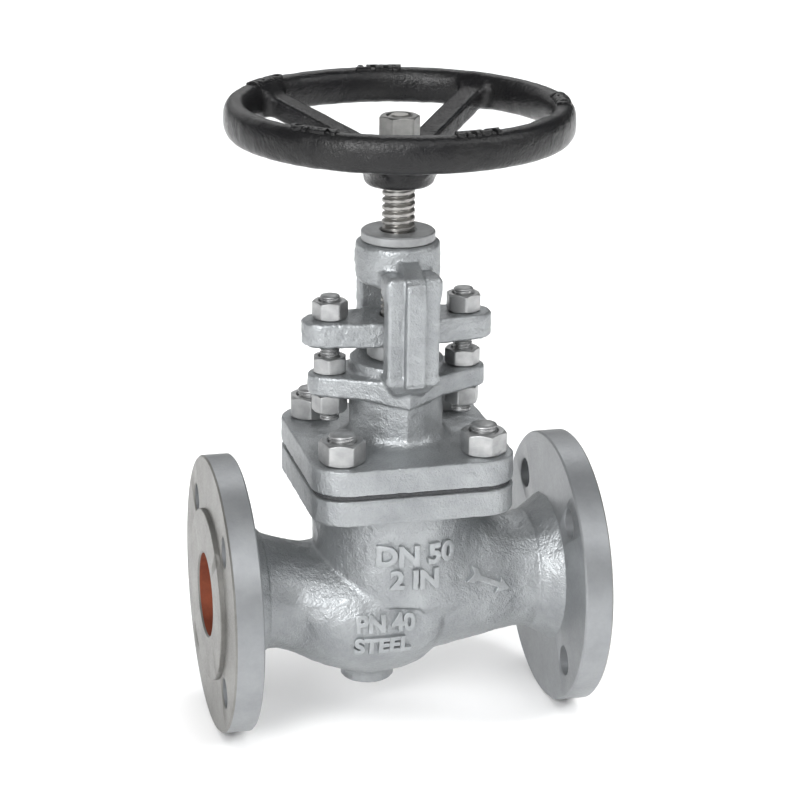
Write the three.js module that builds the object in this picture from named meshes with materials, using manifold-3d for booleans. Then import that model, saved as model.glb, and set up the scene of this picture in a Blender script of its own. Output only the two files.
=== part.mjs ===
// A flanged globe valve, DN 50 PN 40, with a bolted bonnet and an outside screw and yoke.
// Millimetres. +Z runs up the stem and +X along the pipe from inlet to outlet.
// The origin is where the pipe axis and the stem axis cross. The valve is drawn shut.

import * as THREE from "three";
import { mergeVertices } from "three/addons/utils/BufferGeometryUtils.js";
import Module from "manifold-3d";

const wasm = await Module();
wasm.setup();

// ---- Driving dimensions -------------------------------------------------------------------------

const GAP = 0.3; // left between two pieces that touch

const FACE_TO_FACE = 230;
const BORE_R = 25;
const FLANGE = { r: 82.5, t: 17, faceR: 51, faceT: 3, boltCircleR: 62.5, boltHoleR: 9, boltCount: 4 };

const COVER = { half: 60, cornerR: 20, t: 15.5 }; // the square plates bolted together
const BODY_TOP_Z = 74.9;
const BONNET_BASE_Z = 77.6;
const CHAMBER_R = 37;
const COVER_STUD = { r: 8, offset: 42, topZ: 111, nutAcross: 24, nutHeight: 13 };

const BARREL_R = 49;
const BOSS = { x: -16, r: 16, bottomZ: -61 };
const FLOOR_Z = -2; // floor of the upper chamber, round the seat
const SEAT = { topZ: 3, bottomZ: -7.7, outerR: 29, boreR: 23 };

const STEM = { shankR: 9, threadR: 9.5, hubR: 8.2, tipR: 6.7, headR: 11.6 };
const STEM_Z = { head: 12.4, neck: 19.4, shoulder: 52.6, thread: 167, hub: 244.2, tip: 268.2, top: 285 };
const THREAD_LEAD = 4.2333; // lift for one turn of the handwheel
const TURNS_TO_OPEN = 4;
const LIFT = THREAD_LEAD * TURNS_TO_OPEN;

const NECK_R = 27.5;
const BOX = { r: 14.3, bottomZ: 90, topZ: 141 }; // the stuffing box
const PACKING = { outerR: 14, innerR: 9.4, ringCount: 5, ringHeight: 6.6, washerHeight: 3 };
const LUG = { endX: 42, endR: 11, centreR: 30, bottomZ: 121.5, topZ: 134 };
const GLAND = { endX: 43.5, endR: 13, centreR: 20, bottomZ: 151.5, topZ: 166.5 };
const GLAND_STUD = { x: 40, r: 5.7, bottomZ: 104.5, topZ: 181, nutAcross: 18.5 };

const YOKE = { hubR: 24.5, hubTopZ: 211.5, windowTopZ: 188, armInnerY: 28, armOuterY: 40, ribY: 46 };
const ARM = { halfWidth: 15.3, ribHalfWidth: 5.8, bottomZ: 134.5, topZ: 198 };
const BUSH = { r: 16, flangeR: 21.5, bottomZ: 187, topZ: 217.4, holeR: 9.8 };

const WHEEL = { r: 100, rimWidth: 14, rimHeight: 21, rimZ: 282.7, hubR: 20, hubBottomZ: 244.5, hubTopZ: 268.5 };
const SPOKE = { count: 4, width: 15, depth: 12, hubZ: 265.6, rimZ: 287.5 };
const WHEEL_NUT = { across: 21, holeR: 7.1, bottomZ: 271.2, height: 13 };

const FINE = 32; // facets round a large turned piece
const COARSE = 16; // facets round a small one
const LARGE_R = 15.5; // where large begins

// ---- Materials ----------------------------------------------------------------------------------

const material = (color, roughness, metalness) =>
  new THREE.MeshStandardMaterial({ color, roughness, metalness });

const silverPaint = material(0xb2b6b8, 0.5, 0.35);
const blackEnamel = material(0x2b2b2c, 0.45, 0.0);
const stainless = material(0xa9a9a6, 0.32, 1.0);
const zincSteel = material(0x8f918f, 0.4, 1.0);
const graphite = material(0x303236, 0.6, 0.2);

// ---- Geometry helpers ---------------------------------------------------------------------------

function solidFrom(geometry) {
  const bare = geometry.clone();
  bare.deleteAttribute("normal");
  bare.deleteAttribute("uv");
  const merged = mergeVertices(bare, 1e-4);
  return new wasm.Manifold(
    new wasm.Mesh({
      numProp: 3,
      vertProperties: new Float32Array(merged.attributes.position.array),
      triVerts: new Uint32Array(merged.index.array),
    }),
  );
}

function geometryFrom(solid) {
  const mesh = solid.getMesh();
  const geometry = new THREE.BufferGeometry();
  geometry.setAttribute("position", new THREE.BufferAttribute(mesh.vertProperties, 3));
  geometry.setIndex(new THREE.BufferAttribute(mesh.triVerts, 1));
  geometry.computeVertexNormals();
  return geometry;
}

const joined = (first, ...others) => others.reduce((sum, other) => sum.add(other), first);
const cut = (first, ...others) => others.reduce((rest, other) => rest.subtract(other), first);

// A solid of revolution about Z. The outline is a list of [radius, height], from the bottom up.
function turnedGeometry(outline, facets) {
  const points = outline.map(([r, z]) => new THREE.Vector2(r, z));
  const widest = Math.max(...outline.map(([r]) => r));
  const count = facets ?? (widest < LARGE_R ? COARSE : FINE);
  return new THREE.LatheGeometry(points, count).rotateX(Math.PI / 2);
}

const turned = (outline, facets) => solidFrom(turnedGeometry(outline, facets));

const rod = (r, bottom, top, facets) =>
  turned([[0, bottom], [r, bottom], [r, top], [0, top]], facets);

// A rod along Z at a place in plan.
const rodAt = (x, y, r, bottom, top, facets) => rod(r, bottom, top, facets).translate([x, y, 0]);

// A ring whose closed outline is four corners.
const ring = (innerR, outerR, bottom, top, facets) =>
  turned([[innerR, bottom], [outerR, bottom], [outerR, top], [innerR, top], [innerR, bottom]], facets);

function prism(shape, bottom, top, curveSegments = 4) {
  const geometry = new THREE.ExtrudeGeometry(shape, { depth: top - bottom, bevelEnabled: false, curveSegments });
  return solidFrom(geometry.translate(0, 0, bottom));
}

const box = (low, high) =>
  solidFrom(
    new THREE.BoxGeometry(high[0] - low[0], high[1] - low[1], high[2] - low[2]).translate(
      (low[0] + high[0]) / 2,
      (low[1] + high[1]) / 2,
      (low[2] + high[2]) / 2,
    ),
  );

function roundedSquare(half, cornerR) {
  const shape = new THREE.Shape();
  const inner = half - cornerR;
  shape.absarc(inner, inner, cornerR, 0, Math.PI / 2);
  shape.absarc(-inner, inner, cornerR, Math.PI / 2, Math.PI);
  shape.absarc(-inner, -inner, cornerR, Math.PI, Math.PI * 1.5);
  shape.absarc(inner, -inner, cornerR, Math.PI * 1.5, Math.PI * 2);
  return shape;
}

// The outline round a middle circle and two smaller end circles at x = -endX and +endX.
function lozenge({ endX, endR, centreR }) {
  const lean = Math.asin((centreR - endR) / endX);
  const touch = Math.PI / 2 - lean;
  const shape = new THREE.Shape();
  shape.absarc(endX, 0, endR, -touch, touch);
  shape.absarc(0, 0, centreR, touch, Math.PI - touch);
  shape.absarc(-endX, 0, endR, Math.PI - touch, Math.PI + touch);
  shape.absarc(0, 0, centreR, Math.PI + touch, Math.PI * 2 - touch);
  return shape;
}

// A solid along X through elliptical sections. Each station is [x, centre z, half width, half height].
function duct(stations, facets = 18) {
  const positions = [];
  const index = [];
  for (const [x, z, ry, rz] of stations) {
    for (let i = 0; i < facets; i += 1) {
      const angle = (i / facets) * Math.PI * 2;
      positions.push(x, ry * Math.cos(angle), z + rz * Math.sin(angle));
    }
  }
  for (let s = 0; s < stations.length - 1; s += 1) {
    for (let i = 0; i < facets; i += 1) {
      const a = s * facets + i;
      const b = s * facets + ((i + 1) % facets);
      index.push(a, b, a + facets, b, b + facets, a + facets);
    }
  }
  const last = stations.length - 1;
  positions.push(stations[0][0], 0, stations[0][1], stations[last][0], 0, stations[last][1]);
  const startCentre = stations.length * facets;
  for (let i = 0; i < facets; i += 1) {
    const next = (i + 1) % facets;
    index.push(startCentre, next, i);
    index.push(startCentre + 1, last * facets + i, last * facets + next);
  }
  const geometry = new THREE.BufferGeometry();
  geometry.setAttribute("position", new THREE.Float32BufferAttribute(positions, 3));
  geometry.setIndex(index);
  return solidFrom(geometry);
}

const COVER_CORNERS = [[1, 1], [-1, 1], [-1, -1], [1, -1]].map(([x, y]) => [
  x * COVER_STUD.offset,
  y * COVER_STUD.offset,
]);

const coverHoles = (r, bottom, top) => COVER_CORNERS.map(([x, y]) => rodAt(x, y, r, bottom, top, 12));

// ---- Body ---------------------------------------------------------------------------------------

// The flange at +X with its raised face and the neck behind it.
function pipeEnd() {
  const face = FACE_TO_FACE / 2;
  const rim = face - FLANGE.faceT;
  const back = rim - FLANGE.t;
  const outline = [
    [0, 78], [33.5, 78], [34.5, 84], [39, back], [FLANGE.r, back], [FLANGE.r, rim - 1], [FLANGE.r - 1, rim],
    [FLANGE.faceR, rim], [FLANGE.faceR, face], [0, face],
  ];
  const end = solidFrom(turnedGeometry(outline).rotateY(Math.PI / 2));
  const holes = [];
  for (let i = 0; i < FLANGE.boltCount; i += 1) {
    const angle = Math.PI / 4 + (i * Math.PI * 2) / FLANGE.boltCount;
    const y = FLANGE.boltCircleR * Math.cos(angle);
    const z = FLANGE.boltCircleR * Math.sin(angle);
    const hole = new THREE.CylinderGeometry(FLANGE.boltHoleR, FLANGE.boltHoleR, FLANGE.t * 3, 14);
    holes.push(solidFrom(hole.rotateZ(Math.PI / 2).translate(rim, y, z)));
  }
  return cut(end, ...holes);
}

// The inlet neck falls into the bowl under the seat.
function inletBowl() {
  return duct([
    [-96, 0, 37, 37], [-84, 0, 34.5, 34.5], [-73, -2, 34, 34.5], [-64, -5.5, 35, 34], [-55, -9, 39, 35],
    [-46, -11, 43, 37], [-36, -12, 46, 39.5], [-22, -12, 48.5, 42], [-8, -12, 48.5, 42], [4, -10, 47, 41.5],
    [13, -8, 43, 39], [22, -6, 36, 34], [30, -5, 24, 24],
  ]);
}

// The outlet neck widens into the upper chamber.
function outletNeck() {
  return duct([[10, 0, 45, 45], [18, 0, 44, 44], [35, 0, 41, 41], [51, 0, 38.3, 38.3], [72, 0, 34.8, 34.8], [96, 0, 37, 37]]);
}

// The round barrel that carries the cover plate. A slanting wall closes it on the inlet side.
function barrel() {
  const bottom = -4;
  const shell = turned([[0, bottom], [40, bottom], [46, 0], [BARREL_R, 6], [BARREL_R, 54], [52, 60], [0, 60]]);
  const slope = Math.atan2(15.8, 22);
  const wedge = new THREE.BoxGeometry(140, 140, 60).translate(0, 0, -30).rotateY(slope).translate(-34, 0, 9.2);
  return cut(shell, solidFrom(wedge));
}

// The way in: along the pipe, then down under the seat.
function inletPassage() {
  return duct([
    [-118, 0, BORE_R, BORE_R], [-85, 0, BORE_R, BORE_R], [-70, -3, 25, 24.5], [-58, -8, 27, 23], [-46, -15, 31, 21.5],
    [-37, -22, 33, 19.5], [-30, -28, 34, 18], [-15, -29.5, 37, 17.5], [0, -29.5, 37, 17.5], [12, -27, 33, 15],
    [22, -25, 25, 11.5], [28, -24, 10, 5],
  ]);
}

// The way out: from above the seat down to the pipe.
function outletPassage() {
  return duct([
    [8, 17, 27, 18], [28, 16, 29, 18], [38, 9, 28, 20], [48, 3, 26, 23], [60, 0, BORE_R, BORE_R],
    [118, 0, BORE_R, BORE_R],
  ]);
}

function upperChamber() {
  return turned([[0, FLOOR_Z], [31, FLOOR_Z], [CHAMBER_R, 20], [CHAMBER_R, 90], [0, 90]]);
}

function body() {
  const plate = prism(roundedSquare(COVER.half, COVER.cornerR), BODY_TOP_Z - COVER.t, BODY_TOP_Z);
  const boss = rodAt(BOSS.x, 0, BOSS.r, BOSS.bottomZ, -20);
  const outside = joined(pipeEnd(), pipeEnd().rotate([0, 0, 180]), inletBowl(), outletNeck(), barrel(), plate, boss);
  return cut(
    outside,
    inletPassage(),
    outletPassage(),
    upperChamber(),
    rod(SEAT.boreR, -30, 5),
    rod(SEAT.outerR + GAP, SEAT.bottomZ - GAP, 5),
    ...coverHoles(COVER_STUD.r, BODY_TOP_Z - COVER.t - 10, 90),
  );
}

// ---- Seat, disc and stem ------------------------------------------------------------------------

const seatRing = () =>
  turned(
    [
      [SEAT.boreR, SEAT.bottomZ], [SEAT.outerR, SEAT.bottomZ], [SEAT.outerR, SEAT.topZ - 1.5],
      [SEAT.outerR - 1.5, SEAT.topZ], [SEAT.boreR + 2, SEAT.topZ], [SEAT.boreR, SEAT.topZ - 2],
      [SEAT.boreR, SEAT.bottomZ],
    ],
  );

// A flat-faced plug with a guide rim below and a socket above for the stem's head.
function disc() {
  const face = SEAT.topZ + GAP;
  const outside = turned([
    [0, -2], [20, -2], [21.5, -0.5], [21.5, face], [27, face], [28, face + 1], [28, 13], [25, 15.5], [17.5, 18],
    [17.5, 30], [0, 30],
  ]);
  return cut(outside, rod(12.5, STEM_Z.head - 0.4, 35));
}

// The hexagon-headed ring that keeps the stem's head in the disc.
function discNut() {
  const sleeve = rod(12.2, STEM_Z.neck + 0.4, 32);
  const head = hexPrism(27, 30.3, 37);
  return cut(joined(sleeve, head), rod(STEM.shankR + 0.5, 0, 60));
}

function stem() {
  return turned([
    [0, STEM_Z.head], [STEM.headR, STEM_Z.head], [STEM.headR, STEM_Z.neck], [STEM.shankR, STEM_Z.neck],
    [STEM.shankR, 44], [13, 47], [13, STEM_Z.shoulder - 3], [STEM.shankR, STEM_Z.shoulder],
    [STEM.shankR, STEM_Z.thread], [STEM.threadR, STEM_Z.thread + 1], [STEM.threadR, STEM_Z.hub - 1],
    [STEM.threadR - 1, STEM_Z.hub], [STEM.hubR, STEM_Z.hub], [STEM.hubR, STEM_Z.tip], [STEM.tipR, STEM_Z.tip],
    [STEM.tipR, STEM_Z.top - 1.5], [STEM.tipR - 1.5, STEM_Z.top], [0, STEM_Z.top],
  ]);
}

// ---- Bonnet and yoke ----------------------------------------------------------------------------

const gasket = () =>
  cut(
    prism(roundedSquare(COVER.half - 1.5, COVER.cornerR - 1), BODY_TOP_Z + GAP, BONNET_BASE_Z - GAP),
    rod(CHAMBER_R + 0.5, 60, 90),
    ...coverHoles(COVER_STUD.r + 0.6, 60, 90),
  );

// One side of the yoke: a flat bar with a rib down its outside, in plan, at -Y.
function armPlan() {
  const { halfWidth, ribHalfWidth } = ARM;
  const shape = new THREE.Shape();
  shape.moveTo(-halfWidth, -YOKE.armInnerY);
  shape.lineTo(-halfWidth, -YOKE.armOuterY);
  shape.lineTo(-ribHalfWidth - 1, -YOKE.armOuterY);
  shape.lineTo(-ribHalfWidth, -YOKE.ribY);
  shape.lineTo(ribHalfWidth, -YOKE.ribY);
  shape.lineTo(ribHalfWidth + 1, -YOKE.armOuterY);
  shape.lineTo(halfWidth, -YOKE.armOuterY);
  shape.lineTo(halfWidth, -YOKE.armInnerY);
  return shape;
}

// The root spreads from the lug plate out to the arm, seen along X, at -Y.
function armRoot() {
  const shape = new THREE.Shape();
  shape.moveTo(-16, 124);
  shape.lineTo(-30, 126);
  shape.lineTo(-36, 129.5);
  shape.lineTo(-39.5, 134.5);
  shape.lineTo(-40, 138);
  shape.lineTo(-28, 138);
  shape.lineTo(-16, 132);
  const geometry = new THREE.ExtrudeGeometry(shape, { depth: 2 * ARM.halfWidth, bevelEnabled: false });
  return solidFrom(geometry.rotateX(Math.PI / 2).rotateZ(Math.PI / 2).translate(-ARM.halfWidth, 0, 0));
}

function arm() {
  const bar = prism(armPlan(), ARM.bottomZ, ARM.topZ);
  const bridge = box([-ARM.halfWidth, -YOKE.armInnerY - 4, YOKE.windowTopZ], [ARM.halfWidth, -10, ARM.topZ]);
  const ribTop = box([-ARM.ribHalfWidth, -YOKE.ribY + 1.5, ARM.topZ - 5], [ARM.ribHalfWidth, -10, 202]);
  return joined(bar, armRoot(), bridge, ribTop);
}

function bonnet() {
  const plateTop = BONNET_BASE_Z + COVER.t;
  const outside = joined(
    prism(roundedSquare(COVER.half, COVER.cornerR), BONNET_BASE_Z, plateTop),
    turned([
      [0, 66], [CHAMBER_R - 2, 66], [CHAMBER_R - 0.5, 67.5], [CHAMBER_R - 0.5, BONNET_BASE_Z + 1], [31, plateTop],
      [29, plateTop + 2], [NECK_R, plateTop + 5], [NECK_R, BOX.topZ - 1], [NECK_R - 1, BOX.topZ], [0, BOX.topZ],
    ]),
    prism(lozenge(LUG), LUG.bottomZ, LUG.topZ),
    arm(),
    arm().rotate([0, 0, 180]),
    turned([
      [0, YOKE.windowTopZ], [YOKE.hubR - 2, YOKE.windowTopZ], [YOKE.hubR, YOKE.windowTopZ + 3],
      [YOKE.hubR, YOKE.hubTopZ - 3], [YOKE.hubR - 3, YOKE.hubTopZ], [0, YOKE.hubTopZ],
    ]),
  );
  return cut(
    outside,
    rod(17.3, 60, 80.6),
    rod(STEM.shankR + 1, 60, 100),
    rod(BOX.r, BOX.bottomZ, 150),
    rod(BUSH.r + GAP, 180, 230),
    box([15, -2.8, 203.2], [30, 2.8, 208.8]),
    ...coverHoles(COVER_STUD.r + 0.9, 60, plateTop + 10),
    rodAt(GLAND_STUD.x, 0, 6.4, 110, 140, 20),
    rodAt(-GLAND_STUD.x, 0, 6.4, 110, 140, 20),
  );
}

// The hardened ring that the stem's shoulder meets when the valve is fully open.
const backseat = () =>
  turned([
    [STEM.shankR + 0.4, 72], [STEM.shankR + 2, 69.9], [17, 69.9], [17, 80.3], [STEM.shankR + 0.4, 80.3],
    [STEM.shankR + 0.4, 72],
  ]);

const yokeBush = () =>
  turned([
    [BUSH.holeR, BUSH.bottomZ], [BUSH.r, BUSH.bottomZ], [BUSH.r, YOKE.hubTopZ + GAP],
    [BUSH.flangeR, YOKE.hubTopZ + GAP], [BUSH.flangeR, BUSH.topZ - 0.6], [BUSH.flangeR - 0.6, BUSH.topZ],
    [BUSH.holeR + 1, BUSH.topZ], [BUSH.holeR, BUSH.topZ - 1], [BUSH.holeR, BUSH.bottomZ],
  ]);

// ---- Packing and gland --------------------------------------------------------------------------

const packingPiece = (height) => ring(PACKING.innerR, PACKING.outerR, 0, height);

const glandFollower = () =>
  turned([
    [PACKING.innerR, 128.1], [13.9, 128.1], [13.9, BOX.topZ + 1.3], [17.5, BOX.topZ + 1.3], [17.5, 155.5],
    [16, 156.7], [PACKING.innerR, 156.7], [PACKING.innerR, 128.1],
  ]);

function glandFlange() {
  const { bottomZ, topZ } = GLAND;
  return cut(
    prism(lozenge(GLAND), bottomZ, topZ),
    rod(17.9, bottomZ - 5, 157),
    rod(STEM.threadR + 0.7, bottomZ - 5, topZ + 5),
    rodAt(GLAND_STUD.x, 0, 6.6, bottomZ - 5, topZ + 5),
    rodAt(-GLAND_STUD.x, 0, 6.6, bottomZ - 5, topZ + 5),
  );
}

// ---- Fasteners ----------------------------------------------------------------------------------

const hexPrism = (across, bottom, top) => {
  const cornerR = across / Math.sqrt(3);
  const height = top - bottom;
  return solidFrom(
    new THREE.CylinderGeometry(cornerR, cornerR, height, 6)
      .rotateX(Math.PI / 2)
      .translate(0, 0, (bottom + top) / 2),
  );
};

// A hexagon nut standing on z = 0, chamfered top and bottom.
function nut(across, height, holeR) {
  const cornerR = across / Math.sqrt(3);
  const flatR = across / 2;
  const drop = (cornerR - flatR) * Math.tan(Math.PI / 6);
  const chamfer = turned([
    [0, 0], [flatR, 0], [cornerR + 0.2, drop], [cornerR + 0.2, height - drop], [flatR, height], [0, height],
  ], 12);
  return cut(hexPrism(across, 0, height).intersect(chamfer), rod(holeR, -1, height + 1, 12));
}

// A stud standing on z = 0, with domed ends.
const stud = (r, length) =>
  turned([[0, 0], [r - 1, 0], [r, 1], [r, length - 1.5], [r * 0.7, length - 0.3], [0, length]], 12);

// A headless screw along X with a hexagon socket in its outer end.
function grubScrew() {
  const blank = rod(2.5, 0, 6.5, 16);
  return cut(blank, hexPrism(2.5, 4, 8));
}

// ---- Handwheel ----------------------------------------------------------------------------------

function rim() {
  const { r, rimWidth, rimHeight, rimZ } = WHEEL;
  const corner = 5;
  const shape = new THREE.Shape();
  const x0 = r - rimWidth;
  const z0 = rimZ - rimHeight / 2;
  const z1 = rimZ + rimHeight / 2;
  shape.absarc(r - corner, z0 + corner, corner, -Math.PI / 2, 0);
  shape.absarc(r - corner, z1 - corner, corner, 0, Math.PI / 2);
  shape.absarc(x0 + corner, z1 - corner, corner, Math.PI / 2, Math.PI);
  shape.absarc(x0 + corner, z0 + corner, corner, Math.PI, Math.PI * 1.5);
  const outline = shape.getPoints(2).map((point) => [point.x, point.y]);
  outline.push(outline[0]);
  return turned(outline, 40);
}

// One spoke along +X, rising from the hub and spreading where it meets the rim.
function spoke() {
  const { hubZ, rimZ, depth, width } = SPOKE;
  const slope = (rimZ - hubZ) / (WHEEL.r - WHEEL.rimWidth - WHEEL.hubR);
  const topAt = (x) => hubZ + slope * (x - WHEEL.hubR);
  const outer = WHEEL.r - WHEEL.rimWidth + 4;
  const shape = new THREE.Shape();
  shape.moveTo(12, WHEEL.hubBottomZ + 6);
  shape.lineTo(WHEEL.hubR, topAt(WHEEL.hubR) - depth);
  shape.lineTo(70, topAt(70) - depth);
  shape.lineTo(outer, WHEEL.rimZ - WHEEL.rimHeight / 2 + 3);
  shape.lineTo(outer, topAt(WHEEL.r - WHEEL.rimWidth));
  shape.lineTo(WHEEL.r - WHEEL.rimWidth, topAt(WHEEL.r - WHEEL.rimWidth));
  shape.lineTo(12, topAt(12));
  const geometry = new THREE.ExtrudeGeometry(shape, { depth: width, bevelEnabled: false });
  return solidFrom(geometry.translate(0, 0, -width / 2).rotateX(Math.PI / 2));
}

function handwheel() {
  const { hubR, hubBottomZ, hubTopZ } = WHEEL;
  const hub = turned([
    [0, hubBottomZ], [hubR - 5, hubBottomZ], [hubR - 1.5, hubBottomZ + 2], [hubR, hubBottomZ + 6],
    [hubR, hubTopZ - 2], [hubR - 2, hubTopZ], [0, hubTopZ],
  ]);
  const spokes = [];
  for (let i = 0; i < SPOKE.count; i += 1) {
    spokes.push(spoke().rotate([0, 0, 45 + (i * 360) / SPOKE.count]));
  }
  return cut(joined(rim(), hub, ...spokes), rod(STEM.hubR + GAP, 240, 275));
}

// ---- Assembly -----------------------------------------------------------------------------------

function piece(parent, name, solid, look, place = [0, 0, 0], turnZ = 0) {
  const mesh = new THREE.Mesh(geometryFrom(solid), look);
  mesh.name = name;
  mesh.position.set(...place);
  mesh.rotation.z = turnZ;
  parent.add(mesh);
  return mesh;
}

const valve = new THREE.Group();

const shell = new THREE.Group();
piece(shell, "body", body(), silverPaint);
piece(shell, "seat_ring", seatRing(), stainless);
piece(shell, "bonnet_gasket", gasket(), graphite);
piece(shell, "bonnet", bonnet(), silverPaint);
piece(shell, "backseat_bush", backseat(), stainless);
piece(shell, "yoke_bush", yokeBush(), zincSteel);
const grub = piece(shell, "yoke_bush_set_screw", grubScrew(), zincSteel, [BUSH.r + 1, 0, 206]);
grub.rotation.y = Math.PI / 2;
valve.add(shell);

const coverJoint = new THREE.Group();
const studBottomZ = BODY_TOP_Z - COVER.t + 1;
COVER_CORNERS.forEach(([x, y], i) => {
  const nutZ = BONNET_BASE_Z + COVER.t + GAP;
  const turn = 0.35 + i * 0.5;
  const { r, topZ, nutAcross, nutHeight } = COVER_STUD;
  piece(coverJoint, `bonnet_stud_${i + 1}`, stud(r - GAP, topZ - studBottomZ), zincSteel, [x, y, studBottomZ]);
  piece(coverJoint, `bonnet_nut_${i + 1}`, nut(nutAcross, nutHeight, r + GAP / 2), zincSteel, [x, y, nutZ], turn);
});
valve.add(coverJoint);

const stuffingBox = new THREE.Group();
const washerZ = BOX.bottomZ + GAP;
piece(stuffingBox, "packing_washer", packingPiece(PACKING.washerHeight), stainless, [0, 0, washerZ]);
for (let i = 0; i < PACKING.ringCount; i += 1) {
  const z = washerZ + PACKING.washerHeight + GAP + i * (PACKING.ringHeight + GAP);
  piece(stuffingBox, `packing_ring_${i + 1}`, packingPiece(PACKING.ringHeight), graphite, [0, 0, z]);
}
piece(stuffingBox, "gland_follower", glandFollower(), stainless);
piece(stuffingBox, "gland_flange", glandFlange(), silverPaint);
for (const [side, x] of [["left", -GLAND_STUD.x], ["right", GLAND_STUD.x]]) {
  const { r, bottomZ, topZ, nutAcross } = GLAND_STUD;
  const nutHole = r + 1.5 * GAP;
  const under = { height: 11, z: LUG.bottomZ - GAP - 11 };
  const middle = { height: 9.5, z: LUG.topZ + GAP };
  const upper = { height: 10.5, z: GLAND.topZ + GAP };
  piece(stuffingBox, `gland_stud_${side}`, stud(r, topZ - bottomZ), zincSteel, [x, 0, bottomZ]);
  for (const [level, { height, z }] of Object.entries({ lower: under, middle, upper })) {
    const turn = 0.2 + z * 0.01 + x * 0.004;
    piece(stuffingBox, `gland_nut_${level}_${side}`, nut(nutAcross, height, nutHole), zincSteel, [x, 0, z], turn);
  }
}
valve.add(stuffingBox);

// The disc slides up and down: it rises by LIFT while the stem turns TURNS_TO_OPEN times.
const closure = new THREE.Group();
piece(closure, "disc", disc(), stainless);
piece(closure, "disc_nut", discNut(), stainless);
valve.add(closure);

// The stem and all that is fixed to it turn together and rise with the disc.
const operator = new THREE.Group();
const { across, holeR, bottomZ: wheelNutZ, height: wheelNutHeight } = WHEEL_NUT;
piece(operator, "stem", stem(), stainless);
piece(operator, "handwheel", handwheel(), blackEnamel);
piece(operator, "handwheel_washer", ring(holeR, 13, WHEEL.hubTopZ + GAP, wheelNutZ - GAP), zincSteel);
piece(operator, "handwheel_nut", nut(across, wheelNutHeight, holeR), zincSteel, [0, 0, wheelNutZ], 0.6);
operator.userData = { lift: LIFT, leadPerTurn: THREAD_LEAD };
valve.add(operator);

export default valve;
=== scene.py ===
"""Looks for a flanged globe valve, DN 50 PN 40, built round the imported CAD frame.

Shapes are worked out in millimetres, in the frame's own axes: +Z up the stem, +X along the pipe from inlet
to outlet, the origin where the two axes cross. Each mesh is scaled to metres as it is made.
The castings are distance fields, which blend into each other with fillets. The machined parts are turned.
"""

import math
from itertools import product

import bmesh
import bpy
import numpy as np
from mathutils import Matrix, Vector
from mathutils.bvhtree import BVHTree


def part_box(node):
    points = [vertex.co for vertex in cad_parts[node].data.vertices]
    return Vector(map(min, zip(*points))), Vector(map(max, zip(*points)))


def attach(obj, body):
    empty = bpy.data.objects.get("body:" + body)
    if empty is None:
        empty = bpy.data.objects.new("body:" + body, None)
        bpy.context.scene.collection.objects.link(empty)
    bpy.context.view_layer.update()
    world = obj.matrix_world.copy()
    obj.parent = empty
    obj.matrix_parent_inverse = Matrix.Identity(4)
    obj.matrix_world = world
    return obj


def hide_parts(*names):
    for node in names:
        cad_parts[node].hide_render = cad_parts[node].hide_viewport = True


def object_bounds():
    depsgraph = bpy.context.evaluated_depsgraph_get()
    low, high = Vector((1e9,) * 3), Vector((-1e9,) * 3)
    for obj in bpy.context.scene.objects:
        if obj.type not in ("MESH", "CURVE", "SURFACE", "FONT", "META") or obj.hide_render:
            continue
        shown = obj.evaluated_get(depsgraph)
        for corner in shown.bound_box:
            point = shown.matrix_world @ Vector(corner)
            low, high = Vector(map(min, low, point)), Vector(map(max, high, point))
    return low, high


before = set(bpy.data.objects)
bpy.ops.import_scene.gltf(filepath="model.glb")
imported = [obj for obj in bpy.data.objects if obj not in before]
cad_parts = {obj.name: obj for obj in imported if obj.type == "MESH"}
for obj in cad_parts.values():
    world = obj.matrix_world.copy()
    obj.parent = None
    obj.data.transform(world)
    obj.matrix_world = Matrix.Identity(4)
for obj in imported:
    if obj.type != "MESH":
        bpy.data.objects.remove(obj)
cad_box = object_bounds()

MM = 0.001

# ---- Driving dimensions, in millimetres ---------------------------------------------------------


def low_mm(node):
    return [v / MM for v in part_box(node)[0]]


def high_mm(node):
    return [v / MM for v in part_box(node)[1]]


FACE_X = high_mm("body")[0]
FLANGE_R = high_mm("body")[1]
FLANGE = {"t": 17, "face_r": 51, "face_t": 3, "bolt_circle": 62.5, "bolt_r": 9, "bolts": 4}
FLANGE_CORE = {"r": 51, "middle": 5.5, "half_t": 4.8}  # cast metal inside the turned flange, from its back
NECK_SOCKET_R = 33.5  # the turned flange is hollow behind the face, where the neck comes in
BORE_R = 25

PLATE_HALF = high_mm("bonnet")[0]
PLATE_CORNER = 20
PLATE_T = 15.5
BODY_TOP = 74.9
BONNET_BASE = 77.6
STUD_PLACES = [(42, 42), (-42, 42), (-42, -42), (42, -42)]
COVER_HOLE = {"r": 8, "bottom": 50, "clear_r": 8.9, "clear_top": 105}

BARREL_R = 49
# The plane that ends the barrel over the inlet: a place on it, and how far it falls in how long a run.
CREASE = {"x": -34, "z": 9.2, "fall": 15.8, "run": 22}
BOSS = {"x": -16, "r": 16, "bottom": -61}
# Where the cast way through the body lies: x, centre height, half width, half height.
INLET_SHELL = [
    (-106, 0, 36, 36), (-84, 0, 35.5, 35.5), (-76, -1.5, 34, 34), (-64, -5.5, 34.5, 34),
    (-55, -9, 38.5, 35), (-46, -11, 42.5, 37), (-36, -12, 45.8, 39.5), (-22, -12.5, 47.6, 42),
    (-8, -12.5, 47.4, 42), (4, -10.5, 47.8, 41.5), (13, -8.5, 46.6, 39), (20, -6.5, 42.5, 34),
    (27, -5, 29, 24),
]
OUTLET_SHELL = [
    (10, 0, 45, 45), (18, 0, 44, 44), (35, 0, 41, 41), (51, 0, 38.3, 38.3), (72, 0, 35, 35),
    (84, 0, 36, 36), (106, 0, 36.5, 36.5),
]
FLARE = {"start": 82.5, "r": 36.6, "slope": 0.64, "grows_for": 12, "half_long": 7}
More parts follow.
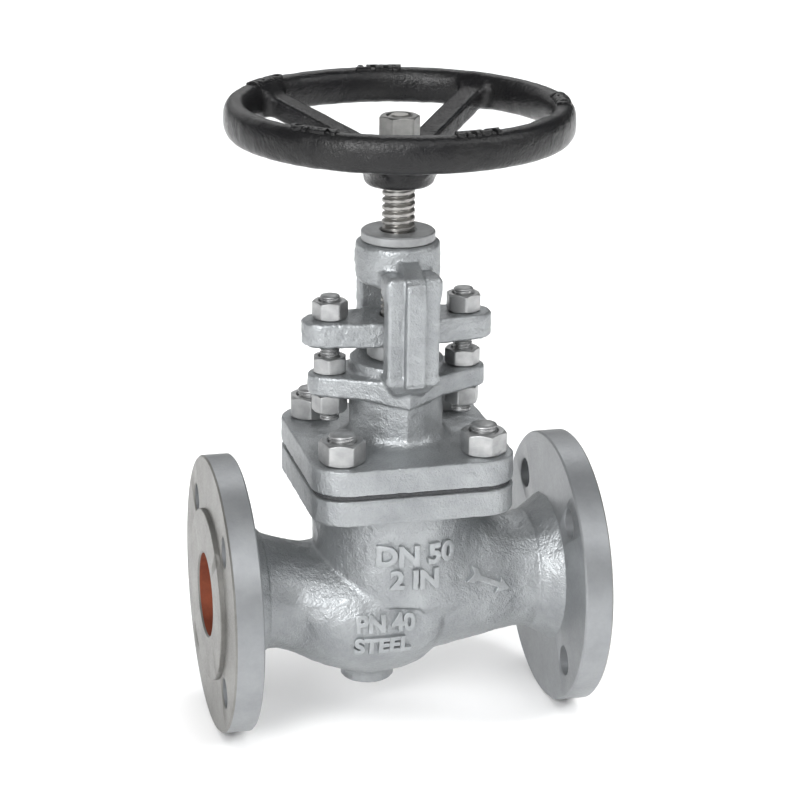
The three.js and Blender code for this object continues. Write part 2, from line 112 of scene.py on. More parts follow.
# The hollow ways, in the same terms as the cast shells.
INLET_WAY = [
    (-118, 0, 25, 25), (-85, 0, 25, 25), (-70, -3, 25, 24.5), (-58, -8, 27, 23), (-46, -15, 31, 21.5),
    (-37, -22, 33, 19.5), (-30, -28, 34, 18), (-15, -29.5, 37, 17.5), (0, -29.5, 37, 17.5),
    (12, -27, 33, 15), (21, -25, 22, 9), (26, -24, 8, 4),
]
OUTLET_WAY = [
    (8, 17, 27, 18), (28, 16, 29, 18), (38, 9, 28, 20), (48, 3, 26, 23), (60, 0, 25, 25), (118, 0, 25, 25),
]
CHAMBER = {"floor": -2, "low_r": 31, "high_r": 37, "slope": 0.27}
SEAT_POCKET = {"r": 29.3, "half_t": 6}  # about the chamber's floor
THROAT = {"r": 23, "middle": -12, "half": 17}

STEM = {"shank": 9, "thread": 9.5, "hub": 8.2, "tip": 6.7, "head": 11.6, "root": 7.7}
STEM_Z = {"head": 12.4, "neck": 19.4, "cone": 44, "collar": 47, "shoulder": 52.6}
STEM_Z |= {"thread": 167, "hub": 244.2, "tip": 268.2, "top": 285}
STEM_COLLAR_R = 13
STEM_PITCH = 4.2333
TIP_PITCH = 2

NECK_R = 27.5
BONNET_BORE_R = 10
BOX = {"r": 14.3, "top": 141, "middle": 120, "half": 30}  # the stuffing box's hole runs past its top
KEEL = {"end_x": 28.5, "end_r": 0.6, "centre_r": NECK_R}
SPIGOT = {"r": 36.5, "bottom": 66, "top": 82, "hollow_r": 17.3, "hollow_top": 80.6}  # goes into the body
LUG = {"end_x": 42, "end_r": 11, "centre_r": 30, "bottom": 121.5, "top": 134}
GLAND = {"end_x": 43.5, "end_r": 13, "centre_r": 20, "bottom": 151.5, "top": 166.5}
LUG_BELLY = {"starts_y": 21, "ends": 14, "slope": 0.34}  # the lug's underside falls towards its points
GLAND_STUD_X = 40
LUG_HOLE = {"r": 6.4, "middle": 127, "half": 15}
GLAND_HOLE = {"stud_r": 6.6, "stem_r": 10.2, "socket_r": 17.9, "socket_top": 157}
FOLLOWER = {"hole": 9.4, "skirt": 13.9, "bottom": 128.1, "flange": 17.5, "shoulder": 155.5, "top": 156.7}

HUB = {"r": 24.5, "bottom": 188, "top": 211.5}
SET_SCREW = {"r": 2.8, "z": 206, "inner": 15}
ARM = {"half": 15.3, "inner": 28, "outer": 40, "rib_half": 5.8, "bottom": 134.5, "top": 198}
# The arm's root and rib seen from the side: how far out from the stem, and the height.
ARM_ROOT = [(16, 124), (30, 126), (36, 129.5), (39.5, 134.5), (40, 140), (28, 140), (16, 133)]
ARM_RIB = [
    (34, 133.5), (42, 133.5), (44.8, 135), (46, 138), (46, 191), (44.7, 195.5),
    (41.5, 199), (34, 202.5), (26, 204), (10, 204.5), (10, 192), (34, 188),
]
BUSH = {"r": 16, "flange_r": 21.5, "bottom": 187, "top": 217.4, "hole": 9.8}

WHEEL = {"r": 100, "rim_w": 14, "rim_h": 21, "rim_z": 282.7, "roundness": 2.5}
WHEEL |= {"hub_r": 20, "hub_bottom": 244.5, "hub_top": 268.5}
SPOKE = {"width": 15, "depth": 12, "hub_z": 265.6, "rim_z": 287.5}

COVER_NUT = {"across": 24, "hole": 8.1, "turns": (0.35, 0.85, 1.3, 0.1)}
GLAND_NUT = {"across": 18.5, "hole": 6.1}
GLAND_NUT_TURNS = {
    "lower_left": 0.3, "middle_left": 0.8, "upper_left": 0.32,
    "lower_right": 0.6, "middle_right": 0.35, "upper_right": 0.96,
}
WHEEL_NUT = {"across": 21, "hole": 7.1, "turn": 0.48}
WASHER = {"hole": 7.2, "r": 13, "edge": 0.3}

# Raised words on the body: the word, its height, and its middle along X and Z.
BODY_MARKS = [
    ("DN 50", 12, 1, 34), ("2 IN", 11.5, 0.5, 19), ("PN 40", 10, -16.5, -8), ("STEEL", 9.5, -18, -21.5),
]
BODY_MARK_RISE = 2.0
ARROW = {"x": 48, "z": 9.5, "slant": -25, "rise": 2.2}
# Raised words on the rim: the word, and how far round from +X it is, in degrees.
RIM_MARKS = [("OPEN", 134), ("SHUT", 84), ("OPEN", -10), ("SHUT", -77), ("OPEN", -134)]
RIM_MARK = {"tall": 8, "rise": 1.1}
MARK = {"sunk": 0.5, "bevel": 0.35, "longest_edge": 2.2}
CAPITAL = 0.73  # a capital's height as a share of the font's size
WELD = 0.01  # points of a raised mark closer than this are one point

# The photographer's place: degrees, millimetres, and the lens on a 36 mm film.
CAMERA = {"azimuth": -14.543, "elevation": 18.846, "roll": 0.836, "place": (-344.15, -1336.42, 584.49)}
LENS = {"focal": 111.416, "film": 36}

# Soft boxes: name, place and size in metres, and power in watts. All point at the valve's middle.
AIM = (0, 0, 0.1)
SOFT_BOXES = [
    ("key", (-1.7, -2.3, 1.35), (1.2, 1.3), 80),
    ("overhead", (-0.4, -1.5, 2.6), (1.8, 1.2), 17),
    ("right_fill", (2.2, -1.2, 1.8), (1.0, 1.0), 24),
    ("front_fill", (0.6, -2.2, 1.9), (1.2, 0.8), 12),
    ("back", (0.9, 2.2, 3.0), (1.5, 1.5), 22),
    ("backdrop", (-0.6, 3.4, 1.7), (4.5, 2.0), 22),
]
FLOOR_HALF = 9  # metres

CELL = 1.0  # spacing of the grid that a casting is meshed on

# ---- Distance fields ----------------------------------------------------------------------------
# Each takes arrays of x, y and z in millimetres. Inside the metal the value is negative.


def blend(a, b, k):
    """The union of two fields with a fillet of about k."""
    h = np.clip(0.5 + 0.5 * (b - a) / k, 0, 1)
    return b + (a - b) * h - k * h * (1 - h)


def carve(a, b, k):
    """a without b, with the edge rounded by about k."""
    return -blend(-a, b, k)


def within(a, b, k):
    """The part that a and b share, with the edge rounded by about k."""
    return -blend(-a, -b, k)


def extrude(plan, z, bottom, top, edge):
    """A plan carried from bottom to top, with its edges rounded."""
    across = plan + edge
    along = np.abs(z - (bottom + top) / 2) - (top - bottom) / 2 + edge
    outside = np.sqrt(np.maximum(across, 0) ** 2 + np.maximum(along, 0) ** 2)
    return outside + np.minimum(np.maximum(across, along), 0) - edge


def block(x, y, half_x, half_y, corner):
    """A rectangle with round corners, in plan."""
    dx = np.abs(x) - half_x + corner
    dy = np.abs(y) - half_y + corner
    outside = np.sqrt(np.maximum(dx, 0) ** 2 + np.maximum(dy, 0) ** 2)
    return outside + np.minimum(np.maximum(dx, dy), 0) - corner


def lozenge(x, y, shape, pointed=False):
    """The outline round a middle circle and two smaller end circles, in plan. If it is pointed, the
    straight sides run on past the middle circle until they meet."""
    reach, end_r, centre_r = shape["end_x"], shape["end_r"], shape["centre_r"]
    lean = (centre_r - end_r) / reach
    rise = math.sqrt(1 - lean * lean)
    along = np.abs(x)
    side = np.abs(y)
    slope = along * rise - side * lean
    at_middle = np.hypot(along, side) - centre_r
    at_end = np.hypot(along - reach, side) - end_r
    between = side * rise + along * lean - centre_r
    at_side = between if pointed else np.where(slope < 0, at_middle, between)
    return np.where(slope > reach * rise, at_end, at_side)


def outline(u, v, corners):
    """A polygon in the plane of u and v."""
    nearest = np.full(np.broadcast(u, v).shape, 1e9, np.float32)
    inside = np.zeros(nearest.shape, bool)
    for (u0, v0), (u1, v1) in zip(corners, corners[1:] + corners[:1]):
        du, dv = u1 - u0, v1 - v0
        t = np.clip(((u - u0) * du + (v - v0) * dv) / (du * du + dv * dv), 0, 1)
        nearest = np.minimum(nearest, (u - u0 - t * du) ** 2 + (v - v0 - t * dv) ** 2)
        if dv:
            crosses = ((v >= v0) != (v >= v1)) & (u < u0 + du * (v - v0) / dv)
            inside ^= crosses
    reach = np.sqrt(nearest)
    return np.where(inside, -reach, reach)


def duct(x, y, z, stations):
    """A tube along X whose section is an ellipse that changes smoothly from station to station."""
    places, centres, widths, heights = (np.array(column, float) for column in zip(*stations))
    centre, width, height = (smooth_between(x, places, column) for column in (centres, widths, heights))
    across = np.sqrt((y / width) ** 2 + ((z - centre) / height) ** 2) - 1
    past_ends = np.abs(x - (places[0] + places[-1]) / 2) - (places[-1] - places[0]) / 2
    return np.maximum(across * np.minimum(width, height), past_ends)


def smooth_between(x, places, values):
    """Values between stations, on a curve with no kinks."""
    slopes = np.gradient(values, places)
    i = np.clip(np.searchsorted(places, x) - 1, 0, len(places) - 2)
    span = places[i + 1] - places[i]
    t = np.clip((x - places[i]) / span, 0, 1)
    rise = t * t * (3 - 2 * t)
    return (
        values[i] * (1 - rise) + values[i + 1] * rise
        + span * (slopes[i] * t * (1 - t) ** 2 - slopes[i + 1] * t * t * (1 - t))
    )


def waves(points, wavelength, seed):
    """A smooth random height from -1 to 1, the same on every run."""
    pick = np.random.RandomState(seed)
    count = 28
    directions = pick.normal(size=(3, count))
    directions /= np.linalg.norm(directions, axis=0)
    scale = 2 * math.pi / (wavelength * pick.uniform(0.7, 1.6, count))
    phases = pick.uniform(0, 2 * math.pi, count)
    return np.sin(points @ (directions * scale) + phases).sum(1) / math.sqrt(count)


# ---- From a field to a mesh ---------------------------------------------------------------------


def crossings(values, place, cell_count):
    """Each active cell's point: the mean of where the surface crosses the cell's edges."""
    sums = np.zeros((cell_count, 3))
    hits = np.zeros(cell_count)
    for axis in range(3):
        others = [n for n in range(3) if n != axis]
        for offset in product((0, 1), repeat=2):
            start = place.copy()
            start[:, others] += offset
            end = start.copy()
            end[:, axis] += 1
            a = values[tuple(start.T)]
            b = values[tuple(end.T)]
            crossed = (a < 0) != (b < 0)
            point = start[crossed].astype(float)
            point[:, axis] += a[crossed] / (a[crossed] - b[crossed])
            sums[crossed] += point
            hits[crossed] += 1
    return sums / hits[:, None]


def quads(inside, index):
    """Four cells round each grid edge that the surface crosses, facing out of the metal."""
    faces = []
    for axis in range(3):
        first = [slice(None)] * 3
        second = [slice(None)] * 3
        first[axis] = slice(None, -1)
        second[axis] = slice(1, None)
        start_inside = inside[tuple(first)]
        edges = np.argwhere(start_inside != inside[tuple(second)])
        b, c = (axis + 1) % 3, (axis + 2) % 3
        loop = []
        for back_b, back_c in ((1, 1), (0, 1), (0, 0), (1, 0)):
            cell = edges.copy()
            cell[:, b] -= back_b
            cell[:, c] -= back_c
            loop.append(index[tuple(cell.T)])
        face = np.stack(loop, 1)
        backward = ~start_inside[tuple(edges.T)]
        face[backward] = face[backward][:, ::-1]
        faces.append(face)
    return np.concatenate(faces)


def value_and_slope(points, field):
    step = 0.05
    x, y, z = points.T
    value = field(x, y, z)
    slope = np.stack(
        [field(x + step, y, z) - value, field(x, y + step, z) - value, field(x, y, z + step) - value], 1
    )
    return value, slope / step


def settle(points, field, cell):
    """Moves the points onto the surface, each by less than a cell."""
    for _ in range(3):
        value, slope = value_and_slope(points, field)
        steepness = np.maximum((slope**2).sum(1), 0.25)
        move = slope * (value / steepness)[:, None]
        points = points - np.clip(move, -0.4 * cell, 0.4 * cell)
    return points


def cast_mesh(field, low, high, cell, lumps=0.0, lump_size=6.0, seed=1):
    """The points and faces of a casting. lumps is how far the sand's marks stand in and out."""
    axes = [np.arange(a - 2 * cell, b + 3 * cell, cell, dtype=np.float32) for a, b in zip(low, high)]
    shape = tuple(len(axis) for axis in axes)
    values = np.broadcast_to(field(*np.ix_(*axes)), shape)
    inside = values < 0
    cells = tuple(n - 1 for n in shape)
    total = np.zeros(cells, np.uint8)
    for i, j, k in product((0, 1), repeat=3):
        total += inside[i : i + cells[0], j : j + cells[1], k : k + cells[2]]
    active = (total > 0) & (total < 8)
    place = np.argwhere(active)
    index = np.full(cells, -1, np.int64)
    index[active] = np.arange(len(place))
    origin = np.array([axis[0] for axis in axes], float)
    points = origin + cell * crossings(values, place, len(place))
    points = settle(points, field, cell)
    if lumps:
        _, slope = value_and_slope(points, field)
        out = slope / np.maximum(np.linalg.norm(slope, axis=1), 1e-6)[:, None]
        height = 0.7 * waves(points, lump_size, seed) + 0.3 * waves(points, lump_size / 2.6, seed + 1)
        points = points + out * (lumps * height)[:, None]
    return points, quads(inside, index).tolist()


def new_object(name, points, faces, materials, sharp_angle=35):
    mesh = bpy.data.meshes.new(name)
    mesh.from_pydata((points * MM).tolist(), [], faces)
    mesh.update()
    for material in materials:
        mesh.materials.append(material)
    mesh.polygons.foreach_set("use_smooth", [True] * len(mesh.polygons))
    mesh.set_sharp_from_angle(angle=math.radians(sharp_angle))
    obj = bpy.data.objects.new(name, mesh)
    bpy.context.scene.collection.objects.link(obj)
    return obj


# ---- Turned, threaded and hexagonal pieces ------------------------------------------------------


def ring_mesh(rings, around):
    """A closed mesh through rings of points about Z, each a radius and a height, or an array of them.
    The rings run up the outside. Where the first and last have no radius, they are capped on the axis."""
    capped = np.max(rings[0][0]) == 0
    body = rings[1:-1] if capped else rings
    turn = np.arange(around) * 2 * math.pi / around
    points = []
    for radius, height in body:
        radius = np.broadcast_to(radius, around)
        height = np.broadcast_to(height, around)
        points.append(np.stack([radius * np.cos(turn), radius * np.sin(turn), height], 1))
    faces = []
    for i in range(len(body) - 1 if capped else len(body)):
        lower = i * around
        upper = ((i + 1) % len(body)) * around
        for j in range(around):
            k = (j + 1) % around
            faces.append((lower + j, lower + k, upper + k, upper + j))
    if capped:
        points.append(np.array([[0, 0, rings[0][1]], [0, 0, rings[-1][1]]], float))
        bottom = len(body) * around
        last = bottom - around
        for j in range(around):
            k = (j + 1) % around
            faces.append((bottom, k, j))
            faces.append((bottom + 1, last + j, last + k))
    return np.concatenate(points), faces


def screw_rings(start, end, outer, root, pitch, crest, around):
    """Rings up a right-hand thread. crest is the share of each turn that is full width."""
    turn = np.arange(around) * 2 * math.pi / around
    rings = []
    for z in np.arange(start, end, pitch / 10):
        phase = (z / pitch - turn / (2 * math.pi)) % 1
        ramp = 1 - np.abs(2 * phase - 1)
        groove = np.clip((ramp - crest) / (1 - crest) * 1.25, 0, 1)
        run_in = min(1, (z - start) / pitch, (end - z) / pitch)
        rings.append((outer - (outer - root) * groove * run_in, z))
    return rings


def threaded_rod(bottom, top, outer, root, pitch, around=40):
    """A stud with rolled threads and domed ends."""
    dome = 1.3
    rings = [(0, bottom), (outer * 0.6, bottom), (outer * 0.93, bottom + 0.5)]
    rings += screw_rings(bottom + dome, top - dome, outer, root, pitch, 0.2, around)
    rings += [(outer * 0.93, top - 0.8), (outer * 0.6, top - 0.25), (0, top)]
    return ring_mesh(rings, around)


def nut_mesh(across, height, hole, around=96):
    """A hexagon nut with coned faces and a countersunk hole, standing on z = 0."""
    turn = np.arange(around) * 2 * math.pi / around
    side = (turn + math.pi / 6) % (math.pi / 3) - math.pi / 6
    edge = np.minimum(across / 2 / np.cos(side), across / math.sqrt(3) - 0.25)
    flat_r = across / 2 - 0.3
    drop = (edge - flat_r) * math.tan(math.radians(30))
    sink = 0.9
    rings = [
        (hole + sink, 0), (flat_r, 0), (edge - 0.15, drop - 0.09), (edge, drop + 0.2),
        (edge, height - drop - 0.2), (edge - 0.15, height - drop + 0.09), (flat_r, height),
        (hole + sink, height), (hole, height - sink), (hole, sink),
    ]
    return ring_mesh(rings, around)


def moved(points, x=0.0, y=0.0, z=0.0, turn=0.0):
    c, s = math.cos(turn), math.sin(turn)
    spin = np.array([[c, s, 0], [-s, c, 0], [0, 0, 1]])
    return points @ spin + np.array([x, y, z])


def add_piece(name, shape, material, body, node=None, sharp_angle=35):
    """A new object that stands for a CAD node and rides on a body."""
    obj = new_object(name, *shape, [material], sharp_angle)
    return settled(obj, body, node)


def settled(obj, body, node=None):
    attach(obj, body)
    if node:
        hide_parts(node)
    return obj


def join(first, others):
    """One object out of several. The first keeps its name."""
    with bpy.context.temp_override(active_object=first, selected_editable_objects=[first, *others]):
        bpy.ops.object.join()
    return first


def drill(obj, start, end, r):
    """A round hole between two points, with a small countersink at each."""
    start, end = Vector(start), Vector(end)
    length = (end - start).length
    rings = [(0, -4), (r + 4.8, -4), (r, 0.8), (r, length - 0.8), (r + 4.8, length + 4), (0, length + 4)]
    cutter = new_object("drill", *ring_mesh(rings, 48), [obj.data.materials[0]])
    turn = Vector((0, 0, 1)).rotation_difference(end - start).to_matrix().to_4x4()
    cutter.matrix_world = Matrix.Translation(start * MM) @ turn
    modifier = obj.modifiers.new("drill", "BOOLEAN")
    modifier.operation = "DIFFERENCE"
    modifier.solver = "EXACT"
    modifier.object = cutter
    graph = bpy.context.evaluated_depsgraph_get()
    mesh = bpy.data.meshes.new_from_object(obj.evaluated_get(graph))
    obj.modifiers.clear()
    obj.data = mesh
    bpy.data.objects.remove(cutter)


def paint_faces(obj, material_index, chosen):
    """Gives the faces whose middles, in millimetres, are chosen another of the object's materials."""
    middles = np.zeros(len(obj.data.polygons) * 3)
    obj.data.polygons.foreach_get("center", middles)
    wanted = chosen(*(middles.reshape(-1, 3) / MM).T)
    indices = np.zeros(len(obj.data.polygons), np.int32)
    obj.data.polygons.foreach_get("material_index", indices)
    indices[wanted] = material_index
    obj.data.polygons.foreach_set("material_index", indices)


# ---- Raised marks -------------------------------------------------------------------------------


def raised_word(word, tall, bend, material, rise):
    """Letters standing out of a surface. bend takes places along, up and out, and gives points on it."""
    curve = bpy.data.curves.new("word", "FONT")
    curve.body = word
    curve.align_x = "CENTER"
    curve.align_y = "CENTER"
    curve.size = tall / CAPITAL
    curve.resolution_u = 4
    curve.offset = 0.04 * tall
    return raised_curve(curve, bend, material, rise)


def raised_shape(corners, bend, material, rise):
    curve = bpy.data.curves.new("shape", "CURVE")
    curve.dimensions = "2D"
    curve.fill_mode = "BOTH"
    spline = curve.splines.new("POLY")
    spline.points.add(len(corners) - 1)
    for point, (u, v) in zip(spline.points, corners):
        point.co = (u, v, 0, 1)
    spline.use_cyclic_u = True
    return raised_curve(curve, bend, material, rise)


def shorten_edges(mesh, longest):
    """Welds a mark and splits its long edges, so that a straight stroke can follow a curved surface."""
    work = bmesh.new()
    work.from_mesh(mesh)
    bmesh.ops.remove_doubles(work, verts=work.verts[:], dist=WELD)
    for _ in range(3):
        long_edges = [edge for edge in work.edges if edge.calc_length() > longest]
        bmesh.ops.subdivide_edges(work, edges=long_edges, cuts=1)
        bmesh.ops.triangulate(work, faces=work.faces[:])
    bmesh.ops.dissolve_degenerate(work, edges=work.edges[:], dist=WELD)
    bmesh.ops.triangulate(work, faces=work.faces[:])
    work.to_mesh(mesh)
    work.free()


def raised_curve(curve, bend, material, rise):
    """The curve as a solid, from a little inside the surface to rise above it."""
    sunk = MARK["sunk"]
    curve.extrude = (rise + sunk) / 2
    curve.bevel_depth = MARK["bevel"]
    curve.bevel_resolution = 2
    obj = bpy.data.objects.new("mark", curve)
    bpy.context.scene.collection.objects.link(obj)
    mesh = bpy.data.meshes.new_from_object(obj.evaluated_get(bpy.context.evaluated_depsgraph_get()))
    bpy.data.objects.remove(obj)
    shorten_edges(mesh, MARK["longest_edge"])
    flat = np.array([vertex.co for vertex in mesh.vertices], float)
    faces = [tuple(face.vertices) for face in mesh.polygons]
    points = bend(flat[:, 0], flat[:, 1], flat[:, 2] + (rise - sunk) / 2)
    bpy.data.meshes.remove(mesh)
    return new_object("mark", points, faces, [material], 40)


# ---- Materials ----------------------------------------------------------------------------------


def add(tree, kind, settings=None, **sockets):
    """A shader node, with its sockets set or linked. An underscore in a name stands for a space."""
    node = tree.nodes.new("ShaderNode" + kind)
    for key, value in (settings or {}).items():
        setattr(node, key, value)
    for key, value in sockets.items():
        socket = node.inputs[key.replace("_", " ")]
        if isinstance(value, bpy.types.NodeSocket):
            tree.links.new(value, socket)
        else:
            socket.default_value = value
    return node


def new_material(name):
    material = bpy.data.materials.new(name)
    material.use_nodes = True
    tree = material.node_tree
    place = add(tree, "TexCoord").outputs["Object"]
    return material, tree, tree.nodes["Principled BSDF"], place


def noise(tree, place, size_mm, detail=3.0, roughness=0.55):
    return add(tree, "TexNoise", Vector=place, Scale=1000 / size_mm, Detail=detail, Roughness=roughness)


def ramp(tree, value, *stops):
    """A colour ramp. Each stop is a place from 0 to 1 and a grey or a colour."""
    node = add(tree, "ValToRGB", Fac=value)
    elements = node.color_ramp.elements
    while len(elements) < len(stops):
        elements.new(0.5)
    for element, (position, colour) in zip(elements, stops):
        element.position = position
        rgb = (colour,) * 3 if isinstance(colour, (int, float)) else colour
        element.color = (*rgb, 1)
    return node.outputs["Color"]


def bump(tree, height, depth_mm, below=None):
    node = add(tree, "Bump", Height=height, Distance=depth_mm * MM, Strength=1.0)
    if below is not None:
        tree.links.new(below, node.inputs["Normal"])
    return node.outputs["Normal"]


def silver_paint(name, dark, light, grain_mm):
    """Aluminium paint over a sand casting: pebbly grain, faint clouding, and flakes that catch the light."""
    material, tree, shader, place = new_material(name)
    pebbles = noise(tree, place, 1.5, 1, 0.5).outputs["Fac"]
    fine = noise(tree, place, 0.75, 1).outputs["Fac"]
    ripple = noise(tree, place, 6, 2).outputs["Fac"]
    cloud = noise(tree, place, 30, 5, 0.65).outputs["Fac"]
    tree.links.new(ramp(tree, cloud, (0.3, dark), (0.7, light)), shader.inputs["Base Color"])
    gloss = ramp(tree, pebbles, (0.35, 0.37), (0.65, 0.50))
    tree.links.new(gloss, shader.inputs["Roughness"])
    shader.inputs["Metallic"].default_value = 0.7
    normal = bump(tree, fine, grain_mm * 0.5, bump(tree, pebbles, grain_mm, bump(tree, ripple, grain_mm)))
    tree.links.new(normal, shader.inputs["Normal"])
    return material


def flange_paint(name, dark, light):
    """The same paint over turned faces, where the tool's rings still show."""
    material, tree, shader, place = new_material(name)
    grain = noise(tree, place, 1.6, 3).outputs["Fac"]
    cloud = noise(tree, place, 24, 5, 0.65).outputs["Fac"]
    rings = add(tree, "TexWave", {"wave_type": "RINGS", "rings_direction": "X"}, Vector=place, Scale=190,
                Distortion=0.6, Detail=2)
    tree.links.new(ramp(tree, cloud, (0.3, dark), (0.7, light)), shader.inputs["Base Color"])
    gloss = ramp(tree, grain, (0.3, 0.36), (0.7, 0.48))
    tree.links.new(gloss, shader.inputs["Roughness"])
    shader.inputs["Metallic"].default_value = 0.6
    normal = bump(tree, rings.outputs["Fac"], 0.03, bump(tree, grain, 0.06))
    tree.links.new(normal, shader.inputs["Normal"])
    return material


def red_primer():
    """Red oxide primer in the bore."""
    material, tree, shader, place = new_material("red_oxide_primer")
    patch = noise(tree, place, 14, 5, 0.65).outputs["Fac"]
    grain = noise(tree, place, 1.8, 3).outputs["Fac"]
    tone = ramp(tree, patch, (0.3, (0.13, 0.026, 0.010)), (0.72, (0.25, 0.058, 0.022)))
    tree.links.new(tone, shader.inputs["Base Color"])
    shader.inputs["Roughness"].default_value = 0.75
    tree.links.new(bump(tree, grain, 0.15), shader.inputs["Normal"])
    return material


def black_enamel():
    """Gloss black over a rough casting."""
    material, tree, shader, place = new_material("cast_black_enamel")
    grain = noise(tree, place, 2.2, 5, 0.66).outputs["Fac"]
    cloud = noise(tree, place, 30, 3).outputs["Fac"]
    tone = ramp(tree, cloud, (0.3, (0.007, 0.007, 0.008)), (0.7, (0.014, 0.014, 0.014)))
    tree.links.new(tone, shader.inputs["Base Color"])
    gloss = ramp(tree, grain, (0.3, 0.12), (0.7, 0.26))
    tree.links.new(gloss, shader.inputs["Roughness"])
    shader.inputs["Specular IOR Level"].default_value = 0.31
    normal = bump(tree, noise(tree, place, 1.1, 1).outputs["Fac"], 0.12, bump(tree, grain, 0.42))
    tree.links.new(normal, shader.inputs["Normal"])
    return material


def steel(name, light, dark, smooth, rough, brush_mm=(3, 3, 0.4), metallic=1.0):
    """Bare or plated steel with fine tool marks. brush_mm is how long the marks are along X, Y and Z."""
    material, tree, shader, place = new_material(name)
    scale = tuple(1000 / size for size in brush_mm)
    stretched = add(tree, "Mapping", Vector=place, Scale=scale).outputs["Vector"]
    marks = add(tree, "TexNoise", Vector=stretched, Scale=1.0, Detail=3).outputs["Fac"]
    cloud = noise(tree, place, 9, 4, 0.6).outputs["Fac"]
    tree.links.new(ramp(tree, cloud, (0.3, dark), (0.7, light)), shader.inputs["Base Color"])
    tree.links.new(ramp(tree, marks, (0.3, smooth), (0.7, rough)), shader.inputs["Roughness"])
    shader.inputs["Metallic"].default_value = metallic
    tree.links.new(bump(tree, marks, 0.02), shader.inputs["Normal"])
    return material


def graphite():
    material, tree, shader, place = new_material("graphite_sheet")
    grain = noise(tree, place, 1.2, 4).outputs["Fac"]
    tone = ramp(tree, grain, (0.3, (0.02, 0.021, 0.023)), (0.7, (0.05, 0.052, 0.056)))
    tree.links.new(tone, shader.inputs["Base Color"])
    shader.inputs["Roughness"].default_value = 0.6
    tree.links.new(bump(tree, grain, 0.1), shader.inputs["Normal"])
    return material


def floor_material():
    material, tree, shader, place = new_material("pale_floor")
    cloud = noise(tree, place, 400, 2).outputs["Fac"]
    tree.links.new(ramp(tree, cloud, (0.3, 0.88), (0.7, 0.90)), shader.inputs["Base Color"])
    shader.inputs["Roughness"].default_value = 0.9
    return material


PAINT = silver_paint("cast_silver_paint", (0.265, 0.278, 0.288), (0.375, 0.39, 0.40), 0.30)
# The raised words and arrow get a lighter tone than the casting's paint. This is a painted highlight that
# stands for their tops catching more light than the surface round them.
RAISED_PAINT_PAINTED_HIGHLIGHT = silver_paint("raised_silver_paint_painted_highlight", (0.31, 0.325, 0.335), (0.41, 0.425, 0.435), 0.14)
TURNED_PAINT = flange_paint("turned_silver_paint", (0.24, 0.25, 0.26), (0.31, 0.32, 0.33))
FACING = flange_paint("worn_facing", (0.15, 0.147, 0.138), (0.25, 0.248, 0.238))
PRIMER = red_primer()
ENAMEL = black_enamel()
ZINC = steel("plated_steel", (0.46, 0.465, 0.465), (0.30, 0.305, 0.31), 0.36, 0.52, (2, 2, 0.6), 0.85)
STAINLESS = steel("stainless_steel", (0.42, 0.41, 0.39), (0.30, 0.295, 0.285), 0.34, 0.48, (4, 4, 0.25))
DULL_STEEL = steel("dull_steel", (0.27, 0.27, 0.26), (0.17, 0.17, 0.168), 0.30, 0.46)
DUSTED_STEEL = steel(
    "oversprayed_steel", (0.36, 0.37, 0.375), (0.27, 0.275, 0.28), 0.42, 0.58, (1.5, 1.5, 1.5), 0.6
)
GRAPHITE = graphite()
BODY_LOOKS = [PAINT, TURNED_PAINT, PRIMER, FACING]

# ---- Body ---------------------------------------------------------------------------------------


def bowl_and_necks(x, y, z):
    """The S-shaped way through: in at the left, down under the seat, and out at the right."""
    inlet = duct(x, y, z, INLET_SHELL)
    outlet = duct(x, y, z, OUTLET_SHELL)
    across = np.sqrt(x * x + y * y)
    barrel = extrude(across - BARREL_R, z, 0.5, 66, 2)
    slope = math.atan2(CREASE["fall"], CREASE["run"])
    above = -((x - CREASE["x"]) * math.sin(slope) + (z - CREASE["z"]) * math.cos(slope))
    barrel = within(barrel, above, 1.2)
    return blend(blend(blend(barrel, outlet, 14), inlet, 2), flare(x, y, z), 1)


def flare(x, y, z):
    """The cone at each end, where the neck widens to meet the back of its flange."""
    from_start = np.abs(x) - FLARE["start"]
    half = FLARE["half_long"]
    growth = FLARE["slope"] * np.clip(from_start, 0, FLARE["grows_for"])
    across = np.sqrt(y * y + z * z) - FLARE["r"] - growth
    return np.maximum(across / math.hypot(1, FLARE["slope"]), np.abs(from_start - half) - half)


def pipe_flange_core(x, y, z):
    """Metal just inside the two turned flanges, so that the necks flare into them."""
    radius = np.sqrt(y * y + z * z)
    back = FACE_X - FLANGE["face_t"] - FLANGE["t"]
    along = np.abs(np.abs(x) - back - FLANGE_CORE["middle"]) - FLANGE_CORE["half_t"]
    return np.maximum(radius - FLANGE_CORE["r"], along)


def hollow_field(x, y, z):
    """The space inside: two curved ways, the chamber over the seat, and the seat's pocket."""
    across = np.sqrt(x * x + y * y)
    floor, low_r = CHAMBER["floor"], CHAMBER["low_r"]
    chamber_r = np.clip(low_r + (z - floor) * CHAMBER["slope"], low_r, CHAMBER["high_r"])
    chamber = np.maximum(across - chamber_r, floor - z)
    pocket = np.maximum(across - SEAT_POCKET["r"], np.abs(z - floor) - SEAT_POCKET["half_t"])
    throat = np.maximum(across - THROAT["r"], np.abs(z - THROAT["middle"]) - THROAT["half"])
    ways = np.minimum(duct(x, y, z, INLET_WAY), duct(x, y, z, OUTLET_WAY))
    return np.minimum(np.minimum(ways, chamber), np.minimum(pocket, throat))


